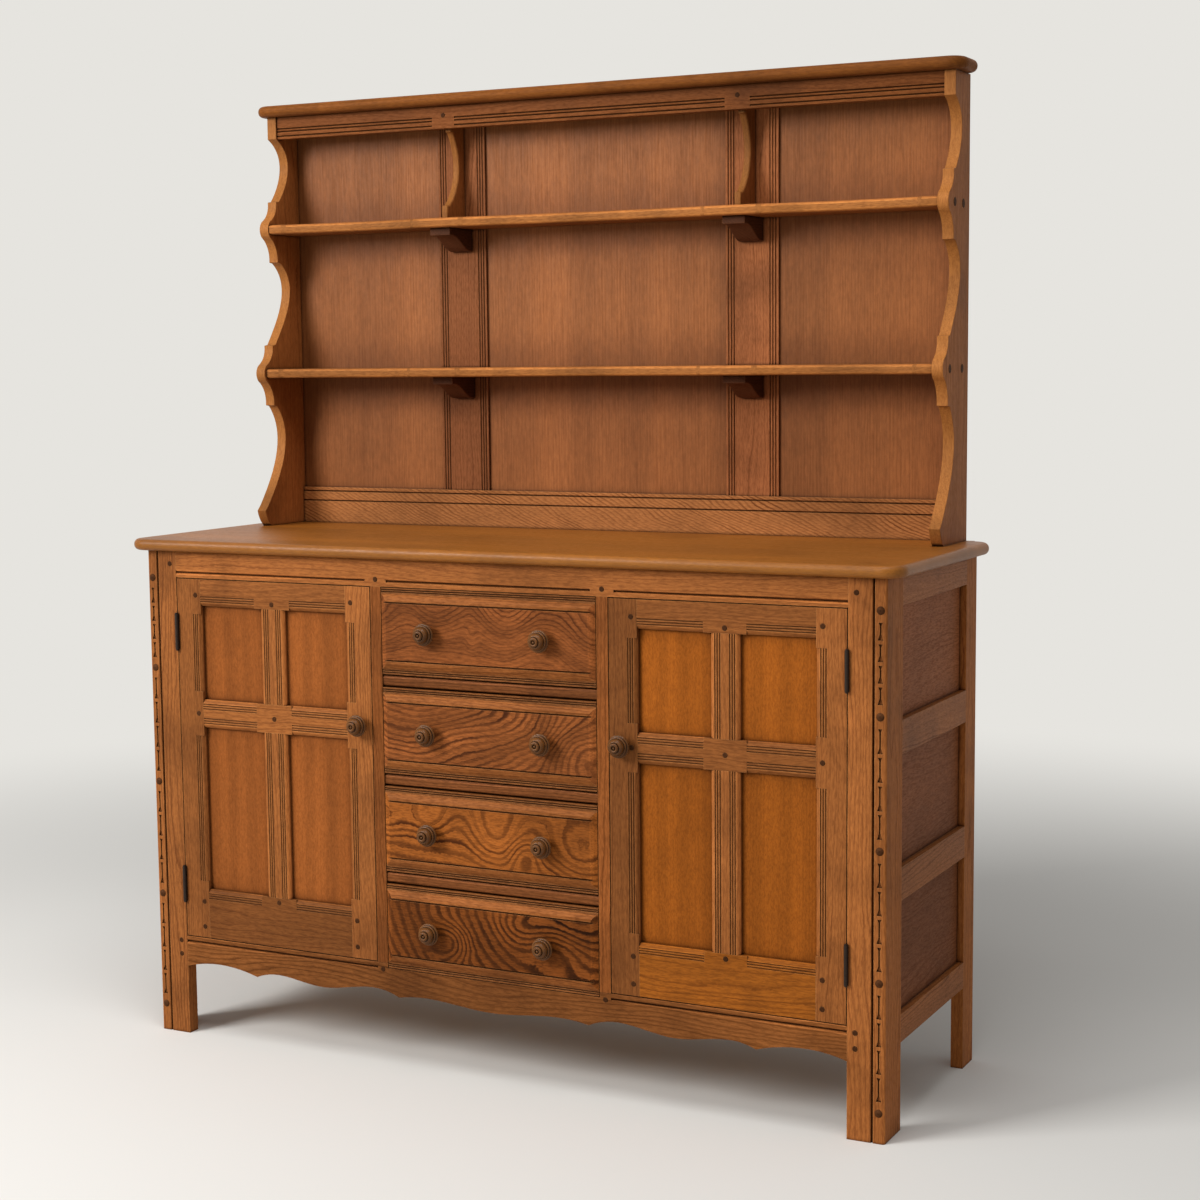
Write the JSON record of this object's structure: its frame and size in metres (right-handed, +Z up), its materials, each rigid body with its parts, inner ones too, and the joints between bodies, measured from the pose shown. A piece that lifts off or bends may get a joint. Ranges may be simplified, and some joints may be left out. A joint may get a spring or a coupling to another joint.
{
  "type": "welsh dresser",
  "caption": "Timber dresser with panelled cupboard doors either side of a stack of drawers, and an open plate rack with shaped ends and scalloped shelves above the counter.",
  "frame": {"origin": "floor level, at the middle of the width and of the depth measured over the knobs", "axes": "+Z up, the doors and drawers face -Y, +X to the viewer's right"},
  "size_m": [1.37, 0.468, 1.601],
  "materials": {
    "frame_elm": "waxed",
    "counter_elm": "waxed",
    "end_panel_elm": "waxed",
    "door_panel_oak": "waxed",
    "rack_panel_oak": "waxed",
    "drawer_elm": "waxed",
    "inner_oak": "bare",
    "dark_peg": "waxed",
    "knob_wood": "waxed",
    "hinge_iron": "black"
  },
  "bodies": {
    "carcass": {"end_posts": "frame_elm", "end_rails": "frame_elm", "end_panels": "end_panel_elm", "front_stiles": "frame_elm", "front_muntins": "frame_elm", "top_rail": "frame_elm", "apron": "frame_elm", "drawer_rails": "frame_elm", "drawer_runners": "inner_oak", "drawer_stops": "inner_oak", "counter_top": "counter_elm", "partitions": "inner_oak", "base_floor": "inner_oak", "cupboard_shelves": "inner_oak", "shelf_cleats": "inner_oak", "base_back_panel": "inner_oak", "base_back_rails": "inner_oak", "frame_pegs": "dark_peg", "post_studs": "dark_peg", "door_stops": "inner_oak", "hinge_frame_leaves": "hinge_iron", "hinge_pins": "hinge_iron", "rack_ends": "frame_elm", "cornice": "frame_elm", "frieze": "frame_elm", "upper_shelf": "frame_elm", "lower_shelf": "frame_elm", "rack_dividers": "frame_elm", "shelf_brackets": "frame_elm", "rack_muntins": "frame_elm", "rack_panels": "rack_panel_oak", "rack_foot_rail": "frame_elm", "end_plugs": "dark_peg"},
    "left_door": {"left_door_stiles": "frame_elm", "left_door_rails": "frame_elm", "left_door_muntins": "frame_elm", "left_door_panels": "door_panel_oak", "left_door_pegs": "dark_peg", "left_door_knob": "knob_wood", "left_door_hinge_leaves": "hinge_iron"},
    "right_door": {"right_door_stiles": "frame_elm", "right_door_rails": "frame_elm", "right_door_muntins": "frame_elm", "right_door_panels": "door_panel_oak", "right_door_pegs": "dark_peg", "right_door_knob": "knob_wood", "right_door_hinge_leaves": "hinge_iron"},
    "drawer_1": {"drawer_1_front": "drawer_elm", "drawer_1_box": "inner_oak", "drawer_1_knobs": "knob_wood"},
    "drawer_2": {"drawer_2_front": "drawer_elm", "drawer_2_box": "inner_oak", "drawer_2_knobs": "knob_wood"},
    "drawer_3": {"drawer_3_front": "drawer_elm", "drawer_3_box": "inner_oak", "drawer_3_knobs": "knob_wood"},
    "drawer_4": {"drawer_4_front": "drawer_elm", "drawer_4_box": "inner_oak", "drawer_4_knobs": "knob_wood"}
  },
  "joints": [
    {"name": "right_door_swing", "type": "hinge", "parent": "carcass", "child": "right_door", "pos_m": [0.59755, -0.1993, 0.48], "axis": [0, 0, 1], "range_deg": [0, 170]},
    {"name": "left_door_swing", "type": "hinge", "parent": "carcass", "child": "left_door", "pos_m": [-0.59755, -0.1993, 0.48], "axis": [0, 0, -1], "range_deg": [0, 170]},
    {"name": "drawer_1_slide", "type": "slide", "parent": "carcass", "child": "drawer_1", "axis": [0, -1, 0], "range_m": [0, 0.3]},
    {"name": "drawer_2_slide", "type": "slide", "parent": "carcass", "child": "drawer_2", "axis": [0, -1, 0], "range_m": [0, 0.3]},
    {"name": "drawer_3_slide", "type": "slide", "parent": "carcass", "child": "drawer_3", "axis": [0, -1, 0], "range_m": [0, 0.3]},
    {"name": "drawer_4_slide", "type": "slide", "parent": "carcass", "child": "drawer_4", "axis": [0, -1, 0], "range_m": [0, 0.3]}
  ]
}
